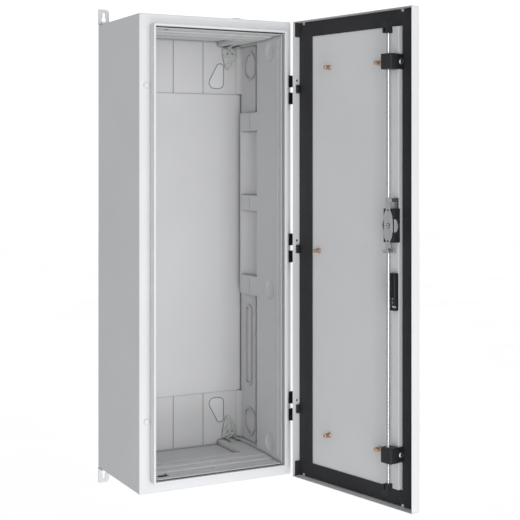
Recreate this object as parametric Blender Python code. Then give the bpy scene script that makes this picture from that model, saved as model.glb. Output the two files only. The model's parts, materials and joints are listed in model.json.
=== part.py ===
"""Wall-mounted distribution cabinet for one field of breakers, door open, with a three-point rod lock.

Metres, +Z up. The front faces -Y and the wall is the plane y = 0. The origin is the middle of the back.
The door and all that rides on it are described as if it were shut, and hang on an empty on the hinge
axis that is turned by DOOR_OPEN.
"""

import math

import bmesh
import bpy
from mathutils import Matrix, Vector

# Body
BODY_WIDTH = 0.300
BODY_HEIGHT = 0.835
BODY_DEPTH = 0.210
SHEET = 0.0012
EDGE_RADIUS = 0.0018
LIP_OUT_LEFT = 0.1295
LIP_OUT_RIGHT = 0.1335
LIP_OUT_Z = 0.3990
OPEN_LEFT = 0.1255
OPEN_RIGHT = 0.1280
OPEN_Z = 0.3950
LIP_PROUD = 0.017
GAP = 0.0003

# Liner
WALL_X = 0.1238
LINER_SHEET = 0.003
POCKET_DEPTH = 0.0122
POCKET_FRONT_Y = -0.124
BAND_BACK_Y = -0.052
LINER_BACK_Y = -0.0285
SKIRT_FRONT_Y = -0.222
SKIRT_BACK_Y = -0.2084
SKIRT_Z = 0.3914
SKIRT_OUT_X = 0.1252
SKIRT_OUT_Z = 0.3927
PLATE_HALF_H = 0.291

# Wall lugs
LUG_X = 0.13925
LUG_HALF_W = 0.01075
LUG_HEIGHT = 0.0295

# Door
DOOR_WIDTH = 0.298
DOOR_HEIGHT = 0.829
DOOR_DEPTH = 0.0188
DOOR_SHEET = 0.0012
DOOR_GAP = 0.001
DOOR_OPEN = math.radians(101.7)

# Hinges
PIN_X = 0.1539
PIN_Y = -0.2283
PIN_RADIUS = 0.002
KNUCKLE_RADIUS = 0.0036
HINGE_SPACING = 0.2921
HINGE_HALF = 0.0265
KNUCKLE_HALF = 0.0047
HINGE_SCREW_X = 0.1395
HINGE_PLUG_X = 0.1363

# Lock
LOCK_X = -0.103
LOCK_Z = 0.054
ROD_Y = -0.203
ROD_RADIUS = 0.0032
CYLINDER_Z = -0.073

# Worked out from the driving dimensions
HALF_W = BODY_WIDTH / 2
HALF_H = BODY_HEIGHT / 2
FRONT_Y = -BODY_DEPTH
DOOR_X = DOOR_WIDTH / 2
DOOR_Z = DOOR_HEIGHT / 2
TIP_Y = FRONT_Y - DOOR_GAP
OUTER_Y = TIP_Y - DOOR_DEPTH
SKIN_Y = OUTER_Y + DOOR_SHEET
HINGES = (("top", HINGE_SPACING), ("middle", 0.0), ("bottom", -HINGE_SPACING))

ORIGINS = {}
MATERIALS = {}


# ---------------------------------------------------------------- helpers

def clear_scene():
    for obj in list(bpy.data.objects):
        bpy.data.objects.remove(obj, do_unlink=True)


def material(name, colour, roughness, metallic=0.0):
    if name not in MATERIALS:
        made = bpy.data.materials.new(name)
        made.use_nodes = True
        shader = made.node_tree.nodes["Principled BSDF"]
        shader.inputs["Base Color"].default_value = (*colour, 1.0)
        shader.inputs["Roughness"].default_value = roughness
        shader.inputs["Metallic"].default_value = metallic
        MATERIALS[name] = made
    return MATERIALS[name]


def white_paint():
    return material("white_paint", (0.86, 0.87, 0.88), 0.4)


def grey_plastic():
    return material("grey_plastic", (0.56, 0.56, 0.57), 0.5)


def black_plastic():
    return material("black_plastic", (0.025, 0.026, 0.028), 0.45)


def black_foam():
    return material("black_foam", (0.045, 0.045, 0.047), 0.8)


def zinc_steel():
    return material("zinc_steel", (0.66, 0.68, 0.70), 0.32, 1.0)


def copper():
    return material("copper_plate", (0.75, 0.45, 0.30), 0.35, 1.0)


def empty(name, at, parent=None, turn=0.0):
    made = bpy.data.objects.new(name, None)
    bpy.context.scene.collection.objects.link(made)
    ORIGINS[name] = Vector(at)
    if parent:
        made.parent = parent
        made.location = ORIGINS[name] - ORIGINS[parent.name]
    else:
        made.location = at
    made.rotation_euler = (0.0, 0.0, turn)
    return made


def link(name, mesh, finish, at, parent):
    """Puts a bmesh, given in shut-door coordinates, into the scene with its origin at `at`."""
    bmesh.ops.translate(mesh, verts=mesh.verts, vec=-Vector(at))
    bmesh.ops.recalc_face_normals(mesh, faces=mesh.faces)
    data = bpy.data.meshes.new(name)
    mesh.to_mesh(data)
    mesh.free()
    made = bpy.data.objects.new(name, data)
    bpy.context.scene.collection.objects.link(made)
    if finish:
        data.materials.append(finish)
    if parent:
        made.parent = parent
        made.location = Vector(at) - ORIGINS[parent.name]
    else:
        made.location = at
    return made


def box(lo, hi, radius=0.0, axes="xyz", segments=3):
    """A box between two corners. The edges along the given axes are rounded by radius."""
    mesh = bmesh.new()
    bmesh.ops.create_cube(mesh, size=1.0)
    size = Vector(hi) - Vector(lo)
    bmesh.ops.scale(mesh, vec=size, verts=mesh.verts)
    bmesh.ops.translate(mesh, vec=(Vector(hi) + Vector(lo)) / 2, verts=mesh.verts)
    if radius:
        wanted = []
        for edge in mesh.edges:
            run = (edge.verts[1].co - edge.verts[0].co).normalized()
            along = "xyz"[max(range(3), key=lambda i: abs(run[i]))]
            if along in axes:
                wanted.append(edge)
        bmesh.ops.bevel(mesh, geom=wanted, offset=radius, segments=segments, affect="EDGES", profile=0.5)
    return mesh


def rod(start, end, radius, sides=24, end_radius=None):
    """A round bar, or a cone, from one point to another."""
    start, end = Vector(start), Vector(end)
    run = end - start
    mesh = bmesh.new()
    bmesh.ops.create_cone(
        mesh, cap_ends=True, segments=sides, radius1=radius,
        radius2=radius if end_radius is None else end_radius, depth=run.length,
    )
    turn = Vector((0, 0, 1)).rotation_difference(run.normalized()).to_matrix().to_4x4()
    bmesh.ops.transform(mesh, matrix=Matrix.Translation((start + end) / 2) @ turn, verts=mesh.verts)
    return mesh


def prism(outline, axis, low, high):
    """An outline extruded along one axis. Its points are (y, z), (x, z) or (x, y) for x, y and z."""
    place = {
        "x": lambda a, b, c: (c, a, b),
        "y": lambda a, b, c: (a, c, b),
        "z": lambda a, b, c: (a, b, c),
    }[axis]
    mesh = bmesh.new()
    ends = [[mesh.verts.new(place(a, b, c)) for a, b in outline] for c in (low, high)]
    mesh.faces.new(ends[0])
    mesh.faces.new(reversed(ends[1]))
    for i in range(len(outline)):
        j = (i + 1) % len(outline)
        mesh.faces.new((ends[0][i], ends[1][i], ends[1][j], ends[0][j]))
    return mesh


def prism_xz(outline, low, high):
    """An outline of (x, z) points extruded along Y."""
    return prism(outline, "y", low, high)


def arc(cx, cy, rx, ry, start, end, steps):
    """Points along an elliptic arc, angles in degrees."""
    points = []
    for i in range(steps + 1):
        angle = math.radians(start + (end - start) * i / steps)
        points.append((cx + rx * math.cos(angle), cy + ry * math.sin(angle)))
    return points


def joined(meshes):
    """Closed shapes that don't touch, as one mesh, for use as a cutter."""
    whole = bmesh.new()
    for part in meshes:
        data = bpy.data.meshes.new("part")
        bmesh.ops.recalc_face_normals(part, faces=part.faces)
        part.to_mesh(data)
        part.free()
        whole.from_mesh(data)
        bpy.data.meshes.remove(data)
    return whole


def piece(name, base, finish, at=(0, 0, 0), parent=None, first_cut=(), add=(), cut=()):
    """One named solid: a base shape, shapes cut from it, shapes joined to it, then shapes cut from all."""
    made = link(name, base, finish, at, parent)
    steps = [("DIFFERENCE", mesh) for mesh in first_cut] + [("UNION", mesh) for mesh in add]
    steps += [("DIFFERENCE", mesh) for mesh in cut]
    for count, (operation, mesh) in enumerate(steps):
        tool = link(f"{name}.tool{count}", mesh, None, at, parent)
        tool.hide_render = True
        tool.display_type = "WIRE"
        step = made.modifiers.new(f"{operation.lower()}{count}", "BOOLEAN")
        step.operation = operation
        step.solver = "EXACT"
        step.object = tool
    return made


def smooth(obj, angle=35.0):
    """Round faces shade smoothly, and edges sharper than angle stay sharp."""
    obj.data.shade_smooth()
    obj.data.set_sharp_from_angle(angle=math.radians(angle))
    return obj


# ---------------------------------------------------------------- body

def hole_y(x, z, radius, y):
    return rod((x, y - 0.003, z), (x, y + 0.003, z), radius, 20)


def body_shell():
    """Painted steel box with a flat front rim and a gutter lip that presses on the door's seal."""
    lip = box(
        (-LIP_OUT_LEFT, FRONT_Y - LIP_PROUD, -LIP_OUT_Z), (LIP_OUT_RIGHT, FRONT_Y + 0.0008, LIP_OUT_Z),
        0.003, "y",
    )
    cavity = box(
        (-HALF_W + SHEET, FRONT_Y + SHEET, -HALF_H + SHEET), (HALF_W - SHEET, -SHEET, HALF_H - SHEET)
    )
    opening = box((-OPEN_LEFT, FRONT_Y - 0.03, -OPEN_Z), (OPEN_RIGHT, FRONT_Y + 0.004, OPEN_Z))
    notches = []
    for _, z in HINGES:
        for side in (-1, 1):
            low, high = sorted((z + side * KNUCKLE_HALF, z + side * (HINGE_HALF + GAP)))
            notches.append(box((0.1450, FRONT_Y - 0.002, low), (HALF_W + 0.002, FRONT_Y + 0.0045, high)))
    holes = [hole_y(HINGE_SCREW_X, z, 0.0026, FRONT_Y) for _, z in HINGES]
    holes += [hole_y(-HINGE_PLUG_X, z, 0.0044, FRONT_Y) for _, z in HINGES if z]
    glands = []
    for end in (-1, 1):
        middle = end * HALF_H
        glands.append(box((-0.075, -0.160, middle - 0.004), (0.075, -0.050, middle + 0.004), 0.006, "z"))
    return piece(
        "body_shell",
        box((-HALF_W, FRONT_Y, -HALF_H), (HALF_W, 0, HALF_H), EDGE_RADIUS),
        white_paint(), add=[lip],
        cut=[cavity, opening, joined(notches), joined(holes), joined(glands)],
    )


def gland_plate(name, end):
    """Removable plate inside the roof or floor, over the opening that cables come in through."""
    low, high = sorted((end * (HALF_H - SHEET - GAP), end * (HALF_H - SHEET - GAP - 0.0015)))
    return piece(name, box((-0.082, -0.167, low), (0.082, -0.043, high), 0.003, "z"), white_paint())


def wall_lug(name, side, end):
    """Angle bracket: the foot lies on the roof or floor, and the lug with its keyhole goes on the wall."""
    near = HALF_H + GAP
    tip = near + LUG_HEIGHT
    inner, outer = LUG_X - LUG_HALF_W, LUG_X + LUG_HALF_W
    outline = [(inner, near), (outer, near)]
    outline += arc(outer - 0.0015, tip - 0.0015, 0.0015, 0.0015, 0, 90, 3)
    outline += arc(inner + 0.008, tip - 0.008, 0.008, 0.008, 90, 180, 8)
    keyhole = arc(LUG_X, 0.4280, 0.0045, 0.0045, 123.7, 416.3, 16)
    keyhole += arc(LUG_X, 0.4385, 0.0025, 0.0025, 0, 180, 8)
    flip = [[(side * x, end * z) for x, z in points] for points in (outline, keyhole)]
    low, high = sorted((end * near, end * (near + 0.0025)))
    x_low, x_high = sorted((side * inner, side * outer))
    return piece(
        name, prism_xz(flip[0], -0.002, 0.0), white_paint(),
        add=[box((x_low, -0.022, low), (x_high, -0.001, high))],
        cut=[prism_xz(flip[1], -0.004, 0.002)],
    )


def pan_screw(name, base, normal, head_radius, shank_radius, head, shank, parent=None, finish=None):
    """Round-headed screw with a hexagon socket. base is the middle of the head's underside."""
    base, normal = Vector(base), Vector(normal).normalized()
    top = base + normal * head
    body = rod(base, top, head_radius, 24, head_radius * 0.86)
    return smooth(piece(
        name, body, finish or zinc_steel(), at=base, parent=parent,
        add=[rod(base - normal * shank, base + normal * head * 0.3, shank_radius, 16)],
        cut=[rod(top - normal * head * 0.55, top + normal * 0.001, head_radius * 0.42, 6)],
    ))


def hinge_plug(name, z):
    """Push-in plug in a hole that is only used when the door is hung on the left."""
    x = -HINGE_PLUG_X
    face = FRONT_Y - GAP
    return smooth(piece(
        name, rod((x, face, z), (x, face - 0.0012, z), 0.0055, 28, 0.0047), white_paint(), at=(x, face, z),
        add=[rod((x, face - 0.0004, z), (x, face + 0.006, z), 0.0038, 20)],
    ))


def body():
    body_shell()
    gland_plate("gland_plate_top", 1)
    gland_plate("gland_plate_bottom", -1)
    for side, side_name in ((-1, "left"), (1, "right")):
        for end, end_name in ((1, "top"), (-1, "bottom")):
            wall_lug(f"wall_lug_{end_name}_{side_name}", side, end)
    for name, z in HINGES:
        if z:
            hinge_plug(f"hinge_plug_{name}", z)


# ---------------------------------------------------------------- insulating liner

POCKETS = ((0.2535, 0.3850), (0.0945, 0.2188), (-0.0604, 0.0654), (-0.3850, -0.0962))
BANDS = ((0.2188, 0.2535), (0.0654, 0.0945), (-0.0962, -0.0604))
FLOOR_X = WALL_X + POCKET_DEPTH
DIMPLES = (0.3635, -0.0785, -0.3632)
DIMPLE_Y = -0.1767


def rounded(middle, half, radius, steps=6):
    """An upright rounded rectangle of (y, z) points."""
    cy, cz = middle
    hy, hz = half
    points = []
    for quarter, (a, b) in enumerate(((1, 1), (-1, 1), (-1, -1), (1, -1))):
        start = 90 * quarter
        corner = (cy + a * (hy - radius), cz + b * (hz - radius))
        points += arc(*corner, radius, radius, start, start + 90, steps)
    return points


def egg(middle, half, end, scale=1.0):
    """An egg-shaped outline of (a, b) points, narrow towards end."""
    ca, cb = middle
    ha, hb = half
    wide = arc(ca, cb - end * hb * 0.22, ha * scale, end * hb * 0.78 * scale, 180, 360, 14)
    narrow = arc(ca, cb - end * hb * 0.22, ha * scale, end * hb * 1.22 * scale, 0, 180, 14)
    return wide + narrow[1:-1]


def curved_pocket(low, high):
    """A hollow with a half-round floor between two bands."""
    near, far, depth = POCKET_FRONT_Y + 0.0005, BAND_BACK_Y - 0.0045, 0.0118
    half = (far - near) / 2
    radius = (half ** 2 + depth ** 2) / (2 * depth)
    reach = math.degrees(math.asin(half / radius))
    centre = (WALL_X + depth - radius, (near + far) / 2)
    outline = arc(*centre, radius, radius, -reach, reach, 20)
    outline += [(WALL_X - 0.002, far), (WALL_X - 0.002, near)]
    return prism(outline, "z", low, high)


def dimple(z):
    """A shallow round dish, cut with a flattened ball."""
    mesh = bmesh.new()
    bmesh.ops.create_uvsphere(mesh, u_segments=32, v_segments=14, radius=0.018)
    bmesh.ops.scale(mesh, vec=(0.24, 1.0, 1.0), verts=mesh.verts)
    bmesh.ops.translate(mesh, vec=(WALL_X, DIMPLE_Y, z), verts=mesh.verts)
    return mesh


def outlined(outline, inner):
    """A raised outline on a pocket's floor, and the shape that hollows it out again."""
    raised = prism(outline, "x", FLOOR_X - 0.0024, FLOOR_X + 0.001)
    hollow = prism(inner, "x", FLOOR_X - 0.003, FLOOR_X + 0.0004)
    return raised, hollow


def side_wall(name, side):
    """Moulded side of the liner, with pockets for cables behind the field and a stiffening bead."""
    back = LINER_BACK_Y - GAP
    half_z = SKIRT_OUT_Z
    slab = box((WALL_X, SKIRT_BACK_Y, -half_z), (FLOOR_X + LINER_SHEET, back, half_z))
    skirt = box((WALL_X, SKIRT_FRONT_Y, -half_z), (SKIRT_OUT_X, SKIRT_BACK_Y + 0.001, half_z))
    bead = box((WALL_X - 0.0018, -0.2112, -0.3850), (WALL_X + 0.0007, -0.2040, 0.3850), 0.0009)
    pad = box((WALL_X - 0.001, -0.2055, -0.0970), (WALL_X + 0.001, -0.1970, 0.0945), 0.0007)
    relief = box(
        (WALL_X + LINER_SHEET, SKIRT_BACK_Y - 0.002, -0.4),
        (FLOOR_X + 0.01, POCKET_FRONT_Y - LINER_SHEET, 0.4),
    )
    tall = (POCKETS[0], POCKETS[3])
    pockets = [
        box((WALL_X - 0.002, POCKET_FRONT_Y, low), (FLOOR_X, back + 0.01, high), 0.003, "x", 3)
        for low, high in tall
    ]
    pockets += [curved_pocket(low, high) for low, high in (POCKETS[1], POCKETS[2])]
    channel = box((WALL_X - 0.003, BAND_BACK_Y, POCKETS[3][0]), (FLOOR_X, back + 0.012, POCKETS[0][1]))
    raised, hollows, swells, gutters = [], [], [], []
    for end in (-1, 1):
        middle, half = (-0.072, end * 0.3460), (0.024, 0.027)
        shape, hollow = outlined(egg(middle, half, end), egg(middle, half, end, 0.88))
        raised.append(shape)
        hollows.append(hollow)
    middle = (-0.067, -0.1975)
    pad_edge = rounded(middle, (0.0130, 0.0775), 0.009)
    shape, hollow = outlined(pad_edge, rounded(middle, (0.0098, 0.0743), 0.006))
    raised.append(shape)
    hollows.append(hollow)
    for low, high in tall:
        swells.append(box((FLOOR_X + 0.0005, -0.1055, low), (0.1474, -0.0895, high)))
        gutters.append(box((WALL_X - 0.002, -0.1015, low + 0.003), (0.1446, -0.0935, high - 0.003)))
    for end in (-1, 1):
        cove = arc(0.1265, back - 0.0095, 0.0095, 0.0095, 0, 90, 8)
        cove += [(0.1375, back), (0.1375, back - 0.0095)]
        swells.append(prism(cove, "z", *sorted((end * 0.2925, end * 0.3845))))
    for z in DIMPLES:
        swells.append(rod((WALL_X + 0.0014, DIMPLE_Y, z), (WALL_X + 0.0067, DIMPLE_Y, z), 0.0197, 32))
    slits = []
    for low, high in BANDS:
        slits.append(box((WALL_X - 0.002, -0.0934, low + 0.003), (WALL_X + 0.0012, -0.0926, high - 0.003)))
    cuts = [joined(hollows), joined(gutters), joined(slits), joined([dimple(z) for z in DIMPLES])]
    if side < 0:
        near, far = LOCK_Z - 0.013, LOCK_Z + 0.013
        cuts.append(box((WALL_X - 0.003, -0.2096, near), (WALL_X + 0.012, -0.2030, far)))
    made = piece(
        name, slab, grey_plastic(), first_cut=[relief, joined(pockets), channel],
        add=[skirt, bead, pad, joined(raised), joined(swells)], cut=cuts,
    )
    if side < 0:
        mirror_x(made)
    return made


def mirror_x(obj):
    """Turns a right-hand piece and its tools into the left-hand one."""
    tools = [step.object for step in obj.modifiers if step.type == "BOOLEAN"]
    for part in [obj, *tools]:
        data = part.data
        data.transform(Matrix.Scale(-1.0, 4, (1, 0, 0)))
        data.flip_normals()


def roof_outline(end):
    """Section of the roof or floor of the liner, with ridges behind the front rim."""
    back = LINER_BACK_Y - GAP
    inner = [
        (SKIRT_FRONT_Y, SKIRT_Z), (-0.1880, 0.3912), (-0.1865, 0.3892), (-0.1640, 0.3888), (-0.1625, 0.3876),
        (-0.0480, 0.3870), (-0.0465, 0.3860), (back, 0.3858),
    ]
    outer = [
        (back, 0.3888), (-0.1600, 0.3910), (-0.1640, 0.3925), (-0.1860, 0.3940),
        (SKIRT_BACK_Y + 0.0005, 0.3940), (SKIRT_BACK_Y + 0.0005, SKIRT_OUT_Z), (SKIRT_FRONT_Y, SKIRT_OUT_Z),
    ]
    return [(y, end * z) for y, z in inner + outer]


def end_panel(name, end):
    """Roof or floor of the liner: a shallow tray behind a ridge, and a slot for a hook of the lock."""
    half = WALL_X - GAP
    low, high = sorted((end * 0.3866, end * 0.3975))
    back = LINER_BACK_Y - GAP
    tray = box((-0.1185, -0.1355, low), (0.0885, back, high))
    low, high = sorted((end * 0.37, end * 0.3950))
    hollow = box((-0.1160, -0.1330, low), (0.0860, back + 0.01, high), 0.004, "z", 4)
    low, high = sorted((end * 0.3862, end * 0.3880))
    ridge = box((-0.1180, -0.1420, low), (0.0880, -0.1340, high), 0.0006, "x", 2)
    low, high = sorted((end * 0.37, end * 0.41))
    cuts = [box((-0.1130, -0.2096, low), (-0.0930, -0.1910, high))]
    if end < 0:
        cuts.append(box((-0.0105, -0.1960, low), (0.0025, -0.1915, high), 0.002, "z", 2))
    return piece(
        name, prism(roof_outline(end), "x", -half, half), grey_plastic(), add=[tray, ridge],
        cut=[hollow, joined(cuts)],
    )


def pear(side, end, shrink=0.0):
    """A window in a corner of the back: upright on the wall side, slanting in to a narrow end."""
    upright = arc(0.0880, 0.3140, 0.0120 - shrink, 0.0120 - shrink, 270, 360, 7)
    narrow = arc(0.0915, 0.3440, 0.0085 - shrink, 0.0085 - shrink, 0, 150, 9)
    wide = arc(0.0790, 0.3140, 0.0120 - shrink, 0.0120 - shrink, 150, 270, 8)
    return [(side * x, end * z) for x, z in upright + narrow + wide]


def back_panel():
    """Back of the liner, with moulded lines and an outlined window in each corner."""
    y = LINER_BACK_Y
    grooves = []
    for end in (-1, 1):
        for x in (-0.1228, -0.1180, -0.0716, -0.0084, 0.0548, 0.1310):
            low, high = sorted((end * 0.2920, end * 0.3925))
            grooves.append(box((x - 0.0007, y - 0.001, low), (x + 0.0007, y + 0.0012, high)))
    outlines = []
    islands = []
    for side in (-1, 1):
        for end in (-1, 1):
            outlines.append(prism_xz(pear(side, end), y - 0.002, y + 0.0014))
            islands.append(prism_xz(pear(side, end, 0.0011), y, y + 0.0020))
    return piece(
        "liner_back", box((-0.1390, y, -0.3970), (0.1390, y + 0.0045, 0.3970)), grey_plastic(),
        first_cut=[joined(grooves), joined(outlines)], add=[joined(islands)],
    )


def mounting_plate():
    """Large plain cover plate over the middle of the liner's back."""
    y = LINER_BACK_Y - GAP
    return piece(
        "mounting_plate",
        box((-0.1350, y - 0.0015, -PLATE_HALF_H), (0.1350, y, PLATE_HALF_H), 0.0004, "xyz", 2),
        grey_plastic(),
    )


def rack_bracket(name, side, end):
    """Galvanised angle in a back corner that takes the equipment rack."""
    y = LINER_BACK_Y - GAP
    outline = [
        (0.0960, 0.3835), (0.1255, 0.3835), (0.1255, 0.3640), (0.1215, 0.3600), (0.1120, 0.3450),
        (0.1085, 0.3412), (0.1050, 0.3412), (0.1020, 0.3440), (0.0980, 0.3620), (0.0960, 0.3680),
    ]
    outline = [(side * x, end * z) for x, z in outline]
    low, high = sorted((end * 0.3820, end * 0.3835))
    feet = []
    for x in (0.1000, 0.1175):
        x_low, x_high = sorted((side * x, side * (x + 0.0055)))
        feet.append(box((x_low, y - 0.026, low), (x_high, y - 0.0005, high), 0.0015, "z"))
    holes = [
        rod((side * x, y - 0.004, end * z), (side * x, y + 0.002, end * z), radius, 14)
        for x, z, radius in ((0.1064, 0.3720, 0.0018), (0.1169, 0.3720, 0.0018), (0.1116, 0.3790, 0.0015))
    ]
    return piece(
        name, prism_xz(outline, y - 0.0015, y), zinc_steel(), add=[joined(feet)], cut=[joined(holes)],
    )


def liner():
    side_wall("liner_right_wall", 1)
    side_wall("liner_left_wall", -1)
    end_panel("liner_roof", 1)
    end_panel("liner_floor", -1)
    back_panel()
    mounting_plate()
    for side, side_name in ((-1, "left"), (1, "right")):
        for end, end_name in ((1, "top"), (-1, "bottom")):
            rack_bracket(f"rack_bracket_{end_name}_{side_name}", side, end)


# ---------------------------------------------------------------- hinges

def hinge_arm(name, z):
    """Body half of a hinge: a base behind the rim, and two arms that reach round to the pin."""
    half = HINGE_HALF - 0.0004
    base = box((0.1320, FRONT_Y + 0.0015, z - half), (0.1484, FRONT_Y + 0.0040, z + half))
    outline = [(0.1455, FRONT_Y + 0.0042), (0.1455, FRONT_Y - 0.0005), (0.1504, FRONT_Y - 0.0005)]
    outline += arc(PIN_X, PIN_Y, KNUCKLE_RADIUS, KNUCKLE_RADIUS, 166.5, 440.4, 22)
    outline += [(0.1545, FRONT_Y + 0.0035), (0.1538, FRONT_Y + 0.0042)]
    arms = []
    for side in (-1, 1):
        low, high = sorted((z + side * (KNUCKLE_HALF + GAP), z + side * HINGE_HALF))
        arms.append(prism(outline, "z", low, high))
    bore = rod((PIN_X, PIN_Y, z - 0.03), (PIN_X, PIN_Y, z + 0.03), PIN_RADIUS + GAP, 28)
    hole = hole_y(HINGE_SCREW_X, z, 0.0025, FRONT_Y + 0.0035)
    return smooth(piece(name, base, black_plastic(), add=[joined(arms)], cut=[joined([bore, hole])]))


def hinge_pin(name, z):
    half = HINGE_HALF + 0.001
    return smooth(piece(
        name, rod((PIN_X, PIN_Y, z - half), (PIN_X, PIN_Y, z + half), PIN_RADIUS, 28), zinc_steel(),
        at=(PIN_X, PIN_Y, z),
        add=[rod((PIN_X, PIN_Y, z + half - 0.0007), (PIN_X, PIN_Y, z + half + 0.0012), 0.0032, 28)],
    ))


def hinge_knuckle(name, z, door):
    """Door half of a hinge: a block inside the door's edge, an arm through a slot, and the knuckle."""
    inner = DOOR_X - DOOR_SHEET - GAP
    block = box((0.1425, -0.2270, z - 0.0075), (inner, TIP_Y - 0.0074, z + 0.0075), 0.0008)
    arm = box((inner - 0.002, -0.2268, z - KNUCKLE_HALF), (0.1520, -0.2249, z + KNUCKLE_HALF))
    barrel = rod((PIN_X, PIN_Y, z - KNUCKLE_HALF), (PIN_X, PIN_Y, z + KNUCKLE_HALF), KNUCKLE_RADIUS, 28)
    bore = rod((PIN_X, PIN_Y, z - 0.02), (PIN_X, PIN_Y, z + 0.02), PIN_RADIUS + GAP, 28)
    return smooth(piece(
        name, block, black_plastic(), at=(PIN_X, PIN_Y, z), parent=door, add=[arm, barrel], cut=[bore]
    ))


def hinges(door):
    for name, z in HINGES:
        hinge_arm(f"hinge_arm_{name}", z)
        hinge_pin(f"hinge_pin_{name}", z)
        hinge_knuckle(f"hinge_knuckle_{name}", z, door)
        pan_screw(
            f"hinge_screw_{name}", (HINGE_SCREW_X, FRONT_Y - GAP, z), (0, -1, 0),
            0.0040, 0.0022, 0.0027, 0.0085,
        )


# ---------------------------------------------------------------- door

def door_pan(door):
    """Painted steel door, a flat skin with a deep edge all round."""
    slots = []
    for _, z in HINGES:
        slots.append(box(
            (DOOR_X - 0.003, -0.2272, z - KNUCKLE_HALF - 0.0005),
            (DOOR_X + 0.001, -0.2245, z + KNUCKLE_HALF + 0.0005),
        ))
        high = z + 0.0155
        slots.append(rod((DOOR_X - 0.003, -0.2215, high), (DOOR_X + 0.001, -0.2215, high), 0.0024, 16))
    holes = [hole_y(LOCK_X, LOCK_Z, 0.0060, OUTER_Y), hole_y(LOCK_X, CYLINDER_Z, 0.0060, OUTER_Y)]
    return piece(
        "door_panel",
        box((-DOOR_X, OUTER_Y, -DOOR_Z), (DOOR_X, TIP_Y, DOOR_Z), EDGE_RADIUS),
        white_paint(), at=(PIN_X, PIN_Y, 0), parent=door,
        cut=[
            box((-DOOR_X + DOOR_SHEET, SKIN_Y, -DOOR_Z + DOOR_SHEET),
                (DOOR_X - DOOR_SHEET, TIP_Y + 0.01, DOOR_Z - DOOR_SHEET)),
            joined(slots), joined(holes),
        ],
    )


WINDOW_X = 0.1126
WINDOW_Z = 0.386
SEAL_TOP_Y = FRONT_Y - LIP_PROUD - GAP


def door_seal(door):
    """Flat foam seal round the inside of the door, with raised corners on the hinge side."""
    half_x, half_z = DOOR_X - DOOR_SHEET - GAP, DOOR_Z - DOOR_SHEET - GAP
    low_y = SKIN_Y + GAP
    window = box((-WINDOW_X, low_y - 0.001, -WINDOW_Z), (WINDOW_X, SEAL_TOP_Y + 0.02, WINDOW_Z))
    ears, notches = [], []
    for end in (-1, 1):
        low, high = sorted((end * (half_z - 0.0260), end * (half_z - 0.0002)))
        ears.append(box((half_x - 0.0015, low_y + 0.0002, low), (half_x - 0.0001, TIP_Y - 0.0052, high)))
        for x in (0.1360, -0.1120):
            low, high = sorted((end * (half_z - 0.0045), end * (half_z + 0.001)))
            notches.append(box((x - 0.0035, low_y - 0.001, low), (x + 0.0035, SEAL_TOP_Y + 0.001, high)))
    return piece(
        "door_seal", box((-half_x, low_y, -half_z), (half_x, SEAL_TOP_Y, half_z)), black_foam(),
        at=(PIN_X, PIN_Y, 0), parent=door, add=[joined(ears)], cut=[window, joined(notches)],
    )


STIFFENER_X = (-0.1120, -0.0940)
STIFFENER_TOP_Y = TIP_Y - 0.0075
STIFFENER_HALF_H = 0.384
GUIDE_SCREW_Y = -0.2212


def door_stiffener(door):
    """Channel welded down the lock side of the door. The lock is built on it."""
    low_x, high_x = STIFFENER_X
    sheet = 0.0015
    inside = box(
        (low_x + sheet, SKIN_Y - 0.002, -STIFFENER_HALF_H - 0.001),
        (high_x - sheet, STIFFENER_TOP_Y - sheet, STIFFENER_HALF_H + 0.001),
    )
    holes = [
        rod((LOCK_X, SKIN_Y - 0.002, z), (LOCK_X, STIFFENER_TOP_Y + 0.002, z), 0.006)
        for z in (LOCK_Z, CYLINDER_Z)
    ]
    low, high = (low_x, SKIN_Y + GAP, -STIFFENER_HALF_H), (high_x, STIFFENER_TOP_Y, STIFFENER_HALF_H)
    return piece(
        "door_stiffener", box(low, high, 0.0015, "z", 3), white_paint(), at=(LOCK_X, SKIN_Y, 0),
        parent=door, cut=[inside, joined(holes)],
    )


def weld_stud(name, x, z, door):
    """Threaded stud welded on the skin, copper-plated, for a document pocket or an earth lead."""
    base = SKIN_Y + GAP
    return smooth(piece(
        name, rod((x, base, z), (x, base + 0.0125, z), 0.0036, 24), copper(), at=(x, base, z), parent=door,
        add=[rod((x, base, z), (x, base + 0.0020, z), 0.0052, 24, 0.0046)],
    ))


def rod_guide(name, z, door):
    """Moulded block on the stiffener that a lock rod slides through."""
    half, cheek = 0.013, 0.0124
    low_y = STIFFENER_TOP_Y + GAP
    side = box((-0.1148, -0.2270, z - cheek), (STIFFENER_X[0] - GAP, low_y + 0.004, z + cheek), 0.0005)
    return smooth(piece(
        name, box((-0.1148, low_y, z - half), (-0.0910, -0.1970, z + half), 0.0015),
        black_plastic(), at=(LOCK_X, ROD_Y, z), parent=door, add=[side],
        cut=[
            rod((LOCK_X, ROD_Y, z - 0.03), (LOCK_X, ROD_Y, z + 0.03), ROD_RADIUS + 0.0004, 32),
            rod((-0.12, GUIDE_SCREW_Y, z), (-0.1105, GUIDE_SCREW_Y, z), 0.0022, 20),
        ],
    ))


def door(door):
    door_pan(door)
    door_seal(door)
    door_stiffener(door)
    studs = (("top_hinge", 0.068, 0.327), ("top_lock", -0.058, 0.327), ("middle", 0.095, 0.0),
             ("bottom_hinge", 0.068, -0.327), ("bottom_lock", -0.058, -0.327))
    for name, x, z in studs:
        weld_stud(f"weld_stud_{name}", x, z, door)
    for name, z in (("top", 0.3255), ("bottom", -0.3255)):
        rod_guide(f"rod_guide_{name}", z, door)
        pan_screw(
            f"guide_screw_{name}", (-0.1148 - GAP, GUIDE_SCREW_Y, z), (-1, 0, 0),
            0.0054, 0.0019, 0.0022, 0.0026, parent=door,
        )


# ---------------------------------------------------------------- lock

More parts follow.
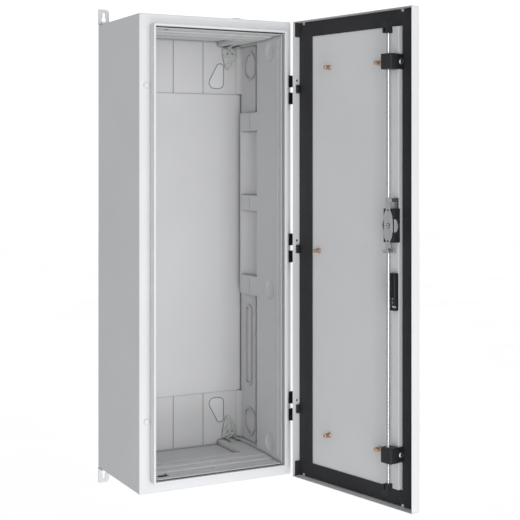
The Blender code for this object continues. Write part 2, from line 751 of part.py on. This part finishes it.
RACK_Y = (-0.2167, -0.2117)
RACK_X = (0.0078, 0.0104)
PINION_RADIUS = 0.0073
SHAFT_RADIUS = 0.004
CASE_TOP_Y = -0.2044
COVER_Y = (-0.2039, -0.2021)
COVER_HALF_H = 0.0375
BOLT_Y = (-0.2083, -0.2053)
BOLT_HALF_H = 0.011
BOLT_TIP_X = -0.122
ROD_START = 0.0395
ROD_END_Z = 0.3802


def gear_case(door):
    """Black box on the stiffener that holds the pinion, the two racks and the bolt."""
    low_y = STIFFENER_TOP_Y + GAP
    tunnel = box(
        (LOCK_X - 0.0108, RACK_Y[0] - 0.0005, LOCK_Z - 0.04),
        (LOCK_X + 0.0108, RACK_Y[1] + 0.0005, LOCK_Z + 0.04),
    )
    channel = box(
        (LOCK_X - 0.03, BOLT_Y[0] - GAP, LOCK_Z - 0.0115), (LOCK_X + 0.0115, -0.2, LOCK_Z + 0.0115)
    )
    shaft_hole = rod((LOCK_X, low_y - 0.002, LOCK_Z), (LOCK_X, -0.214, LOCK_Z), SHAFT_RADIUS + 0.0004)
    pinion_hole = rod((LOCK_X, -0.2142, LOCK_Z), (LOCK_X, -0.2, LOCK_Z), PINION_RADIUS + 0.0004)
    nose = [(LOCK_X + 0.0110, 0.0140), (LOCK_X + 0.0155, 0.0), (LOCK_X + 0.0110, -0.0140)]
    nose = prism_xz([(x, LOCK_Z + z) for x, z in nose], -0.2120, CASE_TOP_Y - 0.0004)
    low, high = (LOCK_X - 0.012, low_y, LOCK_Z - 0.028), (LOCK_X + 0.012, CASE_TOP_Y, LOCK_Z + 0.028)
    return piece(
        "gear_case", box(low, high, 0.001, "y"), black_plastic(), at=(LOCK_X, low_y, LOCK_Z),
        parent=door, add=[nose],
        cut=[tunnel, channel, shaft_hole, pinion_hole],
    )


def gear_cover(door):
    """Steel plate over the gears, wide in the middle and necked at its ends."""
    right = [(0.0048, COVER_HALF_H), (0.0060, 0.0340), (0.0060, 0.0300), (0.0046, 0.0260), (0.0086, 0.0200),
             (0.0095, 0.0150)]
    right += [(x, -z) for x, z in reversed(right)]
    left = [(-x, -z) for x, z in right]
    outline = [(LOCK_X + x, LOCK_Z + z) for x, z in right + left]
    holes = [rod((LOCK_X, -0.21, LOCK_Z), (LOCK_X, -0.19, LOCK_Z), SHAFT_RADIUS + 0.0004)]
    for end in (-1, 1):
        z = LOCK_Z + end * 0.0255
        holes.append(rod((LOCK_X, -0.21, z), (LOCK_X, -0.19, z), 0.0018, 16))
    return piece(
        "gear_cover", prism_xz(outline, *COVER_Y), zinc_steel(), at=(LOCK_X, COVER_Y[0], LOCK_Z),
        parent=door, cut=[joined(holes)],
    )


def spindle(turning):
    """Shaft from the handle's hub to the cover, with the pinion that drives both racks."""
    return smooth(piece(
        "spindle", rod((LOCK_X, -0.2367, LOCK_Z), (LOCK_X, -0.2008, LOCK_Z), SHAFT_RADIUS, 28), zinc_steel(),
        at=(LOCK_X, OUTER_Y, LOCK_Z), parent=turning,
        add=[rod((LOCK_X, RACK_Y[0], LOCK_Z), (LOCK_X, RACK_Y[1], LOCK_Z), PINION_RADIUS, 36)],
        cut=[box((LOCK_X - 0.003, -0.2016, LOCK_Z - 0.0006), (LOCK_X + 0.003, -0.19, LOCK_Z + 0.0006))],
    ))


def latch_bolt(sliding):
    """Sliding bolt at the middle of the door, forked round the spindle, with a rounded nose."""
    low_z, high_z = LOCK_Z - BOLT_HALF_H, LOCK_Z + BOLT_HALF_H
    nose = arc(BOLT_TIP_X + 0.006, LOCK_Z, 0.006, BOLT_HALF_H, 90, 270, 14)
    tail_x = LOCK_X + 0.0108
    outline = nose + [(tail_x, low_z), (tail_x, high_z)]
    fork = box((LOCK_X - 0.0050, -0.22, LOCK_Z - 0.0046), (LOCK_X + 0.02, -0.19, LOCK_Z + 0.0046))
    return smooth(piece(
        "latch_bolt", prism_xz(outline, *BOLT_Y), zinc_steel(), at=(BOLT_TIP_X, BOLT_Y[0], LOCK_Z),
        parent=sliding, cut=[fork],
    ), 20)


def lock_rod(name, end, sliding):
    """Round rod with a rack beside the pinion at one end. Its other end sits in its hook."""
    start = LOCK_Z + end * ROD_START
    x_low, x_high = sorted((-end * RACK_X[1], end * 0.0030))
    z_low, z_high = sorted((start, start + end * 0.006))
    crank = box((LOCK_X + x_low, RACK_Y[0], z_low), (LOCK_X + x_high, ROD_Y + 0.0030, z_high))
    x_low, x_high = sorted((-end * RACK_X[0], -end * RACK_X[1]))
    z_low, z_high = sorted((LOCK_Z - end * 0.016, start + end * 0.005))
    rack = box((LOCK_X + x_low, RACK_Y[0], z_low), (LOCK_X + x_high, RACK_Y[1], z_high))
    return smooth(piece(
        name, rod((LOCK_X, ROD_Y, start), (LOCK_X, ROD_Y, end * ROD_END_Z), ROD_RADIUS, 28), zinc_steel(),
        at=(LOCK_X, ROD_Y, LOCK_Z), parent=sliding, add=[crank, rack],
    ))


def rod_hook(name, end, sliding):
    """Wedge on the end of a rod. It slides behind the body's rim and draws the door shut."""
    outline = [(-0.2083, 0.372), (-0.2083, 0.381), (-0.1990, 0.3898), (-0.1940, 0.3898), (-0.1940, 0.372)]
    outline = [(y, end * z) for y, z in outline]
    far_end = end * (ROD_END_Z + GAP)
    bore = rod((LOCK_X, ROD_Y, end * 0.37), (LOCK_X, ROD_Y, far_end), ROD_RADIUS + GAP, 28)
    low, high = sorted((end * 0.37, far_end))
    slot = box((LOCK_X - 0.0017, ROD_Y, low), (LOCK_X + 0.0017, -0.19, high))
    return piece(
        name, prism(outline, "x", LOCK_X - 0.0048, LOCK_X + 0.0048), black_plastic(),
        at=(LOCK_X, ROD_Y, end * 0.372), parent=sliding, cut=[bore, slot],
    )


HANDLE_Y = OUTER_Y - GAP
DISH_THICK = 0.004
LEVER_PIN_Y = -0.2410


def stadium(x, low_z, high_z, radius, steps=10):
    """An upright outline with round ends."""
    top = arc(x, high_z - radius, radius, radius, 0, 180, steps)
    return top + arc(x, low_z + radius, radius, radius, 180, 360, steps)


def handle_dish(door):
    """Escutcheon on the outside of the door, round the spindle and the lock cylinder."""
    outline = stadium(LOCK_X, -0.0945, LOCK_Z + 0.0240, 0.0200, 14)
    holes = [
        rod((LOCK_X, HANDLE_Y + 0.002, z), (LOCK_X, HANDLE_Y - DISH_THICK - 0.002, z), radius, 32)
        for z, radius in ((LOCK_Z, 0.0050), (CYLINDER_Z, 0.0084))
    ]
    return smooth(piece(
        "handle_dish", prism_xz(outline, HANDLE_Y - DISH_THICK, HANDLE_Y), black_plastic(),
        at=(LOCK_X, HANDLE_Y, 0), parent=door, cut=[joined(holes)],
    ))


def handle_hub(turning):
    """Hub on the spindle, between the cheeks of the lever, with the hole for the lever's pin."""
    top = -0.2462
    return smooth(piece(
        "handle_hub",
        box((LOCK_X - 0.0085, top, LOCK_Z - 0.007), (LOCK_X + 0.0085, -0.2345, LOCK_Z + 0.007), 0.002),
        black_plastic(), at=(LOCK_X, HANDLE_Y, LOCK_Z), parent=turning,
        cut=[
            rod((LOCK_X, -0.23, LOCK_Z), (LOCK_X, -0.2371, LOCK_Z), SHAFT_RADIUS + GAP, 28),
            rod((LOCK_X, LEVER_PIN_Y, LOCK_Z - 0.01), (LOCK_X, LEVER_PIN_Y, LOCK_Z + 0.01), 0.0018 + GAP, 20),
        ],
    ))


def handle_lever(lifting):
    """Swing lever, forked round the hub. Turned out of the way it points at the hinges."""
    half = 0.012
    tip = LOCK_X + 0.105
    inner, outer = -0.2365, -0.2490
    rear = arc(LOCK_X, LEVER_PIN_Y, 0.0064, 0.0064, 90, 270, 12)
    outline = rear + [
        (LOCK_X + 0.0120, outer), (LOCK_X + 0.0700, outer + 0.0004), (tip - 0.0060, outer + 0.0022),
        (tip, outer + 0.0060), (tip, inner - 0.0010), (tip - 0.0010, inner), (LOCK_X + 0.0120, inner),
    ]
    fork = box((LOCK_X - 0.02, -0.26, LOCK_Z - 0.0074), (LOCK_X + 0.0112, -0.22, LOCK_Z + 0.0074))
    pin = rod((LOCK_X, LEVER_PIN_Y, LOCK_Z - 0.02), (LOCK_X, LEVER_PIN_Y, LOCK_Z + 0.02), 0.0018 + GAP, 20)
    return smooth(piece(
        "handle_lever", prism(outline, "z", LOCK_Z - half, LOCK_Z + half), black_plastic(),
        at=(LOCK_X, LEVER_PIN_Y, LOCK_Z), parent=lifting, cut=[fork, pin],
    ), 25)


def lever_pin(turning):
    return smooth(piece(
        "lever_pin",
        rod((LOCK_X, LEVER_PIN_Y, LOCK_Z - 0.0118), (LOCK_X, LEVER_PIN_Y, LOCK_Z + 0.0118), 0.0018, 20),
        zinc_steel(), at=(LOCK_X, LEVER_PIN_Y, LOCK_Z), parent=turning,
    ))


def cylinder_housing(door):
    """Black block inside the door that carries the lock cylinder."""
    low_y = STIFFENER_TOP_Y + GAP
    bore = rod((LOCK_X, low_y - 0.002, CYLINDER_Z), (LOCK_X, -0.19, CYLINDER_Z), 0.0059, 32)
    low, high = (LOCK_X - 0.009, low_y, CYLINDER_Z - 0.0140), (LOCK_X + 0.009, -0.2090, CYLINDER_Z + 0.0480)
    return piece(
        "cylinder_housing", box(low, high, 0.001), black_plastic(), at=(LOCK_X, low_y, CYLINDER_Z),
        parent=door, cut=[bore],
    )


def cylinder_clip(door):
    """Spring clip that keeps the cylinder in its housing."""
    outer = arc(LOCK_X, CYLINDER_Z, 0.0095, 0.0095, -140, 140, 24)
    inner = arc(LOCK_X, CYLINDER_Z, 0.0059, 0.0059, 140, -140, 24)
    tab = box(
        (LOCK_X - 0.0130, -0.2087, CYLINDER_Z - 0.0085), (LOCK_X - 0.0040, -0.2075, CYLINDER_Z - 0.0055)
    )
    return smooth(piece(
        "cylinder_clip", prism_xz(outer + inner, -0.2087, -0.2075), zinc_steel(),
        at=(LOCK_X, -0.2087, CYLINDER_Z), parent=door, add=[tab],
    ))


def lock_cylinder(turning):
    """Key cylinder, with its key slot outside and a screwdriver slot inside."""
    front, back = -0.2365, -0.2074
    head = rod((LOCK_X, front, CYLINDER_Z), (LOCK_X, HANDLE_Y, CYLINDER_Z), 0.0080, 32)
    return smooth(piece(
        "lock_cylinder", head, zinc_steel(), at=(LOCK_X, OUTER_Y, CYLINDER_Z), parent=turning,
        add=[rod((LOCK_X, HANDLE_Y - 0.001, CYLINDER_Z), (LOCK_X, back, CYLINDER_Z), 0.0055, 28)],
        cut=[
            box((LOCK_X - 0.0008, front - 0.001, CYLINDER_Z - 0.0040),
                (LOCK_X + 0.0008, front + 0.005, CYLINDER_Z + 0.0040)),
            box((LOCK_X - 0.0040, back - 0.0012, CYLINDER_Z - 0.0006),
                (LOCK_X + 0.0040, back + 0.001, CYLINDER_Z + 0.0006)),
        ],
    ))


def lock(door):
    spindle_at = (LOCK_X, OUTER_Y, LOCK_Z)
    handle_turn = empty("handle_turn", spindle_at, door)
    lever_lift = empty("lever_lift", (LOCK_X, LEVER_PIN_Y, LOCK_Z), handle_turn)
    bolt_slide = empty("bolt_slide", (BOLT_TIP_X, BOLT_Y[0], LOCK_Z), door)
    upper_slide = empty("upper_slide", (LOCK_X, ROD_Y, LOCK_Z), door)
    lower_slide = empty("lower_slide", (LOCK_X, ROD_Y, LOCK_Z), door)
    cylinder_turn = empty("cylinder_turn", (LOCK_X, OUTER_Y, CYLINDER_Z), door)
    gear_case(door)
    gear_cover(door)
    spindle(handle_turn)
    latch_bolt(bolt_slide)
    lock_rod("lock_rod_upper", 1, upper_slide)
    lock_rod("lock_rod_lower", -1, lower_slide)
    rod_hook("rod_hook_upper", 1, upper_slide)
    rod_hook("rod_hook_lower", -1, lower_slide)
    handle_dish(door)
    handle_hub(handle_turn)
    handle_lever(lever_lift)
    lever_pin(handle_turn)
    cylinder_housing(door)
    cylinder_clip(door)
    lock_cylinder(cylinder_turn)


def build():
    clear_scene()
    swing = empty("door_swing", (PIN_X, PIN_Y, 0.0), turn=DOOR_OPEN)
    body()
    liner()
    hinges(swing)
    door(swing)
    lock(swing)


build()
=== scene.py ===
"""Looks for the wall-mounted distribution cabinet: finishes, finer detail, floor, light and camera."""

import json
import math

import bmesh
import bpy
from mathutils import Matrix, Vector

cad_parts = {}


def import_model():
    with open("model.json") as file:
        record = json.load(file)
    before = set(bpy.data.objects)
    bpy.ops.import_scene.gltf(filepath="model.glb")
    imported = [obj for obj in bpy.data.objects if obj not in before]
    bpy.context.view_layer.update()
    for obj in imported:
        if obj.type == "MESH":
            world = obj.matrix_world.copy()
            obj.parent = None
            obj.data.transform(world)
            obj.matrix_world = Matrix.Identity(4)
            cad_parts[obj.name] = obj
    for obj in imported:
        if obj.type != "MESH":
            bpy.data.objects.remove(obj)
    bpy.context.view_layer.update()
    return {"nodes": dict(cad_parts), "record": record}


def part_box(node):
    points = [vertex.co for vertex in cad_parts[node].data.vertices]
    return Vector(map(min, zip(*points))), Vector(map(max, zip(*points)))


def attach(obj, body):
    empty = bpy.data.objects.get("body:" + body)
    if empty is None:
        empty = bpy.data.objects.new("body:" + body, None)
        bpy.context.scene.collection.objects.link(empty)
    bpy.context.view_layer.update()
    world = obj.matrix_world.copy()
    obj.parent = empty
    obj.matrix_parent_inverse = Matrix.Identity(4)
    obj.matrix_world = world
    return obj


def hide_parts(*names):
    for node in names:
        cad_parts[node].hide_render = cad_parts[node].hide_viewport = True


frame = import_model()

NODES = frame["nodes"]
RECORD = frame["record"]
SLOTS = {row["node"]: row["material_slot"] for row in RECORD["subparts"]}

SHARP_ANGLE = 32.0
DOOR_OPEN = math.radians(101.7)
DOOR_IN = Vector((-math.sin(DOOR_OPEN), math.cos(DOOR_OPEN), 0.0))
DOOR_FREE = Vector((-math.cos(DOOR_OPEN), -math.sin(DOOR_OPEN), 0.0))
WINDOW_ARCS = (
    (0.0880, 0.3140, 0.0120, 270, 360),
    (0.0915, 0.3440, 0.0085, 0, 150),
    (0.0790, 0.3140, 0.0120, 150, 270),
)
ARC_STEPS = 12
FLOOR_Z = -1.75
FLOOR_REACH = 30.0


# ---------------------------------------------------------------- finishes

def new_material(name):
    made = bpy.data.materials.new(name)
    made.use_nodes = True
    tree = made.node_tree
    return made, tree, tree.nodes["Principled BSDF"]


def noise(tree, scale, detail=4.0, stretch=(1, 1, 1), roughness=0.55):
    """A noise texture in the row frame, in metres, stretched along some axes."""
    where = tree.nodes.new("ShaderNodeTexCoord")
    mapping = tree.nodes.new("ShaderNodeMapping")
    mapping.inputs["Scale"].default_value = stretch
    tex = tree.nodes.new("ShaderNodeTexNoise")
    tex.inputs["Scale"].default_value = scale
    tex.inputs["Detail"].default_value = detail
    tex.inputs["Roughness"].default_value = roughness
    tree.links.new(where.outputs["Object"], mapping.inputs["Vector"])
    tree.links.new(mapping.outputs["Vector"], tex.inputs["Vector"])
    return tex.outputs["Fac"]


def ramp(tree, source, stops):
    """A colour ramp with (position, colour) stops."""
    node = tree.nodes.new("ShaderNodeValToRGB")
    elements = node.color_ramp.elements
    elements[0].position, elements[0].color = stops[0][0], (*stops[0][1], 1)
    elements[1].position, elements[1].color = stops[-1][0], (*stops[-1][1], 1)
    for position, colour in stops[1:-1]:
        added = elements.new(position)
        added.color = (*colour, 1)
    tree.links.new(source, node.inputs["Fac"])
    return node.outputs["Color"]


def spread(tree, source, low, high):
    """A value from low to high."""
    node = tree.nodes.new("ShaderNodeMapRange")
    node.inputs["To Min"].default_value = low
    node.inputs["To Max"].default_value = high
    tree.links.new(source, node.inputs["Value"])
    return node.outputs["Result"]


def surface(name, colours, roughness, bump, metallic=0.0, tint_scale=6.0, stretch=(1, 1, 1), edge=0.0005,
            specular=0.5, crevice=None):
    """A finish whose colour drifts a little, whose sheen wears unevenly and whose surface has a fine grain.
    crevice is (reach, how dark): painted shade, the colour darkened by ambient occlusion in narrow gaps and
    grooves."""
    made, tree, shader = new_material(name)
    shader.inputs["Metallic"].default_value = metallic
    shader.inputs["Specular IOR Level"].default_value = specular
    drift = noise(tree, tint_scale, 5.0, stretch)
    dark, light = colours
    tone = ramp(tree, drift, [(0.3, dark), (0.7, light)])
    # Painted shade: ambient occlusion darkens the base colour in narrow gaps, grooves and crevices.
    if crevice:
        shade = tree.nodes.new("ShaderNodeAmbientOcclusion")
        shade.samples = 8
        shade.inputs["Distance"].default_value = crevice[0]
        crevice_shade = ramp(tree, shade.outputs["AO"], [(0.38, (crevice[1],) * 3), (0.92, (1.0, 1.0, 1.0))])
        mixed = tree.nodes.new("ShaderNodeMix")
        mixed.data_type = "RGBA"
        mixed.blend_type = "MULTIPLY"
        mixed.inputs[0].default_value = 1.0
        tree.links.new(tone, mixed.inputs[6])
        tree.links.new(crevice_shade, mixed.inputs[7])
        tone = mixed.outputs[2]
    tree.links.new(tone, shader.inputs["Base Color"])
    wear = noise(tree, tint_scale * 7.0, 6.0, stretch)
    tree.links.new(spread(tree, wear, roughness[0], roughness[1]), shader.inputs["Roughness"])
    scale, strength, depth = bump
    grain = noise(tree, scale, 3.0, stretch)
    node = tree.nodes.new("ShaderNodeBump")
    node.inputs["Strength"].default_value = strength
    node.inputs["Distance"].default_value = depth
    tree.links.new(grain, node.inputs["Height"])
    if edge:
        bevel = tree.nodes.new("ShaderNodeBevel")
        bevel.samples = 4
        bevel.inputs["Radius"].default_value = edge
        tree.links.new(bevel.outputs["Normal"], node.inputs["Normal"])
    tree.links.new(node.outputs["Normal"], shader.inputs["Normal"])
    return made


# The crevice settings here and in the galvanised and window finishes below paint shade into the colour of
# gaps and grooves.
FINISHES = {
    "white_paint": surface(
        "white_powder_coat", ((0.79, 0.80, 0.815), (0.83, 0.84, 0.85)),
        (0.34, 0.46), (1400, 0.10, 0.0002),
        crevice=(0.003, 0.75),
    ),
    "grey_plastic": surface(
        "liner_plastic", ((0.67, 0.67, 0.675), (0.71, 0.71, 0.715)), (0.44, 0.56), (2200, 0.12, 0.0002),
        crevice=(0.006, 0.38),
    ),
    "black_plastic": surface(
        "black_polyamide", ((0.014, 0.015, 0.016), (0.024, 0.025, 0.027)), (0.38, 0.55), (2600, 0.22, 0.0002)
    ),
    "black_foam": surface(
        "foam_seal", ((0.036, 0.036, 0.038), (0.050, 0.050, 0.053)), (0.75, 0.9), (3800, 0.55, 0.0003),
        edge=0.0, specular=0.3,
    ),
    "zinc_steel": surface(
        "zinc_plated_steel", ((0.55, 0.56, 0.57), (0.80, 0.80, 0.79)),
        (0.13, 0.26), (900, 0.12, 0.0002), 0.9, 14.0, (1, 1, 0.12), crevice=(0.010, 0.35),
    ),
    "copper_plate": surface(
        "copper_plated_steel", ((0.50, 0.27, 0.16), (0.90, 0.66, 0.48)),
        (0.25, 0.45), (1500, 0.2, 0.0002), 0.85, 260.0, crevice=(0.0012, 0.25),
    ),
}
GALVANISED = surface(
    "galvanised_sheet", ((0.44, 0.45, 0.45), (0.82, 0.82, 0.81)),
    (0.35, 0.6), (1200, 0.3, 0.0003), 0.35, 320.0, crevice=(0.004, 0.2),
)
WINDOW_BLANK = surface(
    "window_blank", ((0.70, 0.725, 0.735), (0.76, 0.785, 0.79)), (0.4, 0.5), (2200, 0.1, 0.0002),
    crevice=(0.003, 0.6),
)


ROUND_NODES = (
    "hinge_pin", "hinge_screw", "hinge_plug", "hinge_knuckle", "hinge_arm", "spindle", "latch_bolt",
    "lock_rod", "lock_cylinder", "cylinder_clip", "lever_pin", "handle_", "rod_guide", "gear_cover",
)


def soften(obj):
    """Round faces shade smoothly. Edges sharper than SHARP_ANGLE stay crisp, and flat faces stay flat."""
    weld = obj.modifiers.new("weld", "WELD")
    weld.merge_threshold = 2e-6
    split = obj.modifiers.new("split", "EDGE_SPLIT")
    split.split_angle = math.radians(SHARP_ANGLE)
    obj.data.shade_smooth()
    obj.modifiers.new("weigh", "WEIGHTED_NORMAL")


def finish_nodes():
    """Every CAD node gets the finish of its slot, and smooth shading where it is round."""
    for name, obj in NODES.items():
        mesh = obj.data
        mesh.materials.clear()
        mesh.materials.append(GALVANISED if name.startswith("rack_bracket") else FINISHES[SLOTS[name]])
        if name.startswith(ROUND_NODES):
            soften(obj)


finish_nodes()


# ---------------------------------------------------------------- finer pieces

def middle(low, high):
    return (Vector(low) + Vector(high)) / 2


def piece(name, mesh, finish, body, stands_for=None, smooth=True):
    """One visible piece, already in the row frame, that rides on a CAD body."""
    bmesh.ops.recalc_face_normals(mesh, faces=mesh.faces)
    data = bpy.data.meshes.new(name)
    mesh.to_mesh(data)
    mesh.free()
    obj = bpy.data.objects.new(name, data)
    bpy.context.scene.collection.objects.link(obj)
    data.materials.append(finish)
    if smooth:
        data.shade_smooth()
        data.set_sharp_from_angle(angle=math.radians(SHARP_ANGLE))
    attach(obj, body)
    if stands_for:
        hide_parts(stands_for)
    return obj


def lathe(mesh, base, along, profile, turns=40):
    """Turns (distance along, radius) pairs about an axis. A radius of 0 closes an end."""
    along = Vector(along).normalized()
    side = along.orthogonal().normalized()
    up = along.cross(side)
    rings = []
    for reach, radius in profile:
        centre = Vector(base) + along * reach
        if radius == 0:
            rings.append([mesh.verts.new(centre)])
            continue
        ring = []
        for k in range(turns):
            angle = math.tau * k / turns
            ring.append(mesh.verts.new(centre + radius * (side * math.cos(angle) + up * math.sin(angle))))
        rings.append(ring)
    for a, b in zip(rings, rings[1:]):
        for k in range(turns):
            j = (k + 1) % turns
            corners = [a[k % len(a)], a[j % len(a)], b[j % len(b)], b[k % len(b)]]
            mesh.faces.new(list(dict.fromkeys(corners)))
    return mesh


def reach_of(name, direction):
    """The least and greatest distance of a node's points along a direction, and the node's middle line."""
    points = [Vector(v.co) for v in NODES[name].data.vertices]
    direction = Vector(direction).normalized()
    along = [p.dot(direction) for p in points]
    low, high = min(along), max(along)
    across = [p - direction * p.dot(direction) for p in points]
    lows = [min(p[i] for p in across) for i in range(3)]
    highs = [max(p[i] for p in across) for i in range(3)]
    return low, high, middle(lows, highs)


def threaded_studs():
    """Weld studs with a thread of fine turns, a flared welded foot and a chamfered end."""
    for name in [n for n in NODES if n.startswith("weld_stud")]:
        low, high, line = reach_of(name, DOOR_IN)
        crest, root, pitch = 0.0035, 0.0028, 0.0011
        profile = [(0, 0), (0, 0.0046), (0.0007, 0.0045), (0.0012, 0.0040), (0.0020, 0.0034), (0.0024, root)]
        at, end = 0.0026, high - low
        while at < end - 0.0012:
            profile += [(at, root), (at + pitch * 0.35, crest), (at + pitch * 0.60, crest)]
            at += pitch
        profile += [(end - 0.0008, root), (end, root - 0.0006), (end, 0)]
        mesh = lathe(bmesh.new(), line + DOOR_IN * low, DOOR_IN, profile)
        piece(name + "_thread", mesh, FINISHES["copper_plate"], "door", name)


def socket_screw(name, direction, head, radius, shank, body):
    """Round-headed screw with a hexagon socket sunk in the head, and a washer face under it."""
    low, high, line = reach_of(name, direction)
    direction = Vector(direction).normalized()
    seat = high - head
    socket = radius * 0.46
    profile = [(low, 0), (low, shank * 0.7), (low + 0.0004, shank)]
    at = low + 0.0008
    while at < seat - 0.0008:
        profile += [(at, shank * 0.86), (at + 0.00025, shank)]
        at += 0.0005
    profile += [(seat, shank), (seat, radius * 0.97), (seat + 0.0002, radius)]
    for step in range(8):
        angle = math.radians(8 + 62 * step / 7)
        profile.append((seat + 0.0002 + (head - 0.0002) * math.sin(angle) / math.sin(math.radians(70)),
                        radius * math.cos(angle) ** 0.75))
    top = profile[-1][1]
    rim = max(top * 0.98, socket * 1.12)
    profile.append((high, min(rim, top)))
    mesh = bmesh.new()
    lathe(mesh, line, direction, profile, 42)
    edge = [e for e in mesh.edges if e.is_boundary]
    loop = bmesh.ops.edgeloop_fill(mesh, edges=edge)["faces"]
    bmesh.ops.inset_region(mesh, faces=loop, thickness=max(min(rim, top) - socket, 0.0003))
    bmesh.ops.translate(mesh, verts=list({v for f in loop for v in f.verts}), vec=-direction * head * 0.6)
    return piece(name + "_head", mesh, FINISHES["zinc_steel"], body, name)


def painted_socket_shade(name, direction, head, radius, body):
    """A black hexagon at the bottom of a screw's socket: painted shade for the socket's shadowed floor."""
    low, high, line = reach_of(name, direction)
    direction = Vector(direction).normalized()
    mesh = bmesh.new()
    profile = [(0, 0), (0, radius), (0.0002, radius * 0.94), (0.0002, 0)]
    lathe(mesh, line + direction * (high - head * 0.58), direction, profile, 6)
    return piece(name + "_socket", mesh, FINISHES["black_plastic"], body, smooth=False)


def screws():
    """Socket-headed screws on the hinges, facing out, and on the rod guides, facing the door's free edge."""
    for name in sorted(NODES):
        if name.startswith("hinge_screw"):
            socket_screw(name, (0, -1, 0), 0.0027, 0.0040, 0.0022, "cabinet")
            painted_socket_shade(name, (0, -1, 0), 0.0027, 0.0017, "cabinet")
        elif name.startswith("guide_screw"):
            socket_screw(name, DOOR_FREE, 0.0022, 0.0054, 0.0019, "door")
            painted_socket_shade(name, DOOR_FREE, 0.0022, 0.0024, "door")


def window_blanks():
    """Pale blanks on the four outlined windows in the back of the liner, slightly domed at the rim."""
    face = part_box("liner_back")[0].y
    for side, side_name in ((-1, "left"), (1, "right")):
        for end, end_name in ((1, "top"), (-1, "bottom")):
            mesh = bmesh.new()
            rings = []
            for shrink, y in ((0.0013, face - 0.00004), (0.0020, face - 0.00026), (0.0040, face - 0.00028)):
                outline = []
                for cx, cz, radius, start, stop in WINDOW_ARCS:
                    for k in range(ARC_STEPS + 1):
                        angle = math.radians(start + (stop - start) * k / ARC_STEPS)
                        outline.append((cx + (radius - shrink) * math.cos(angle),
                                        cz + (radius - shrink) * math.sin(angle)))
                rings.append([mesh.verts.new((side * x, y, end * z)) for x, z in outline])
            for a, b in zip(rings, rings[1:]):
                for k in range(len(a)):
                    j = (k + 1) % len(a)
                    mesh.faces.new((a[k], a[j], b[j], b[k]))
            mesh.faces.new(rings[-1])
            mesh.faces.new(list(reversed(rings[0])))
            piece(f"window_blank_{end_name}_{side_name}", mesh, WINDOW_BLANK, "cabinet")


threaded_studs()
screws()
window_blanks()


# ---------------------------------------------------------------- floor, light and camera

def floor():
    """A wide pale floor, well below a cabinet that hangs on a wall."""
    mesh = bmesh.new()
    rings, turns = 10, 48
    grid = []
    for i in range(rings + 1):
        radius = FLOOR_REACH * (i / rings) ** 2 + 0.01
        grid.append([
            mesh.verts.new((radius * math.cos(angle), radius * math.sin(angle), FLOOR_Z))
            for angle in (math.tau * j / turns for j in range(turns))
        ])
    mesh.faces.new(grid[0])
    for a, b in zip(grid, grid[1:]):
        for j in range(turns):
            k = (j + 1) % turns
            mesh.faces.new((a[j], b[j], b[k], a[k]))
    bmesh.ops.recalc_face_normals(mesh, faces=mesh.faces)
    data = bpy.data.meshes.new("floor")
    mesh.to_mesh(data)
    mesh.free()
    obj = bpy.data.objects.new("floor", data)
    bpy.context.scene.collection.objects.link(obj)
    made, tree, shader = new_material("floor_paint")
    tone = ramp(tree, noise(tree, 0.6, 3.0), [(0.3, (0.93, 0.93, 0.93)), (0.7, (0.96, 0.96, 0.96))])
    tree.links.new(tone, shader.inputs["Base Color"])
    shader.inputs["Roughness"].default_value = 0.9
    glow = tree.nodes.new("ShaderNodeEmission")
    glow.inputs["Strength"].default_value = 1.06
    tree.links.new(tone, glow.inputs["Color"])
    path = tree.nodes.new("ShaderNodeLightPath")
    mix = tree.nodes.new("ShaderNodeMixShader")
    tree.links.new(path.outputs["Is Camera Ray"], mix.inputs["Fac"])
    tree.links.new(shader.outputs["BSDF"], mix.inputs[1])
    tree.links.new(glow.outputs["Emission"], mix.inputs[2])
    tree.links.new(mix.outputs["Shader"], tree.nodes["Material Output"].inputs["Surface"])
    data.materials.append(made)


def world():
    """An even pale surround. What the camera sees of it is white."""
    made = bpy.data.worlds.new("studio")
    bpy.context.scene.world = made
    made.use_nodes = True
    tree = made.node_tree
    tree.nodes.clear()
    out = tree.nodes.new("ShaderNodeOutputWorld")
    light = tree.nodes.new("ShaderNodeBackground")
    light.inputs["Color"].default_value = (0.97, 0.985, 1.0, 1)
    light.inputs["Strength"].default_value = 0.46
    seen = tree.nodes.new("ShaderNodeBackground")
    seen.inputs["Color"].default_value = (1, 1, 1, 1)
    seen.inputs["Strength"].default_value = 1.15
    path = tree.nodes.new("ShaderNodeLightPath")
    mix = tree.nodes.new("ShaderNodeMixShader")
    tree.links.new(path.outputs["Is Camera Ray"], mix.inputs["Fac"])
    tree.links.new(light.outputs["Background"], mix.inputs[1])
    tree.links.new(seen.outputs["Background"], mix.inputs[2])
    tree.links.new(mix.outputs["Shader"], out.inputs["Surface"])


def area_light(name, at, target, size, power, colour=(1, 1, 1)):
    data = bpy.data.lights.new(name, "AREA")
    data.shape = "RECTANGLE"
    data.size, data.size_y = size
    data.energy = power
    data.color = colour
    obj = bpy.data.objects.new(name, data)
    obj.location = at
    obj.rotation_euler = (Vector(target) - Vector(at)).to_track_quat("-Z", "Y").to_euler()
    bpy.context.scene.collection.objects.link(obj)
    return obj


def camera():
    data = bpy.data.cameras.new("camera")
    data.sensor_width = 36.0
    data.lens = 80.91
    data.shift_y = -0.1908
    data.clip_end = 200.0
    obj = bpy.data.objects.new("camera", data)
    obj.location = (-0.8984, -2.1001, 0.1611)
    obj.rotation_euler = (math.radians(90), 0, math.radians(-27.5))
    bpy.context.scene.collection.objects.link(obj)
    bpy.context.scene.camera = obj


floor()
world()
area_light("front_softbox", (0.9, -4.0, 0.6), (0.1, -0.2, 0), (2.4, 3.0), 36)
area_light("left_fill", (-1.1, -3.6, -0.1), (0.1, -0.1, 0), (1.2, 2.0), 24)
area_light("low_fill", (0.1, -2.6, -1.4), (0.0, -0.1, 0.2), (1.4, 0.8), 12)
camera()
bpy.context.scene.view_settings.view_transform = "Standard"
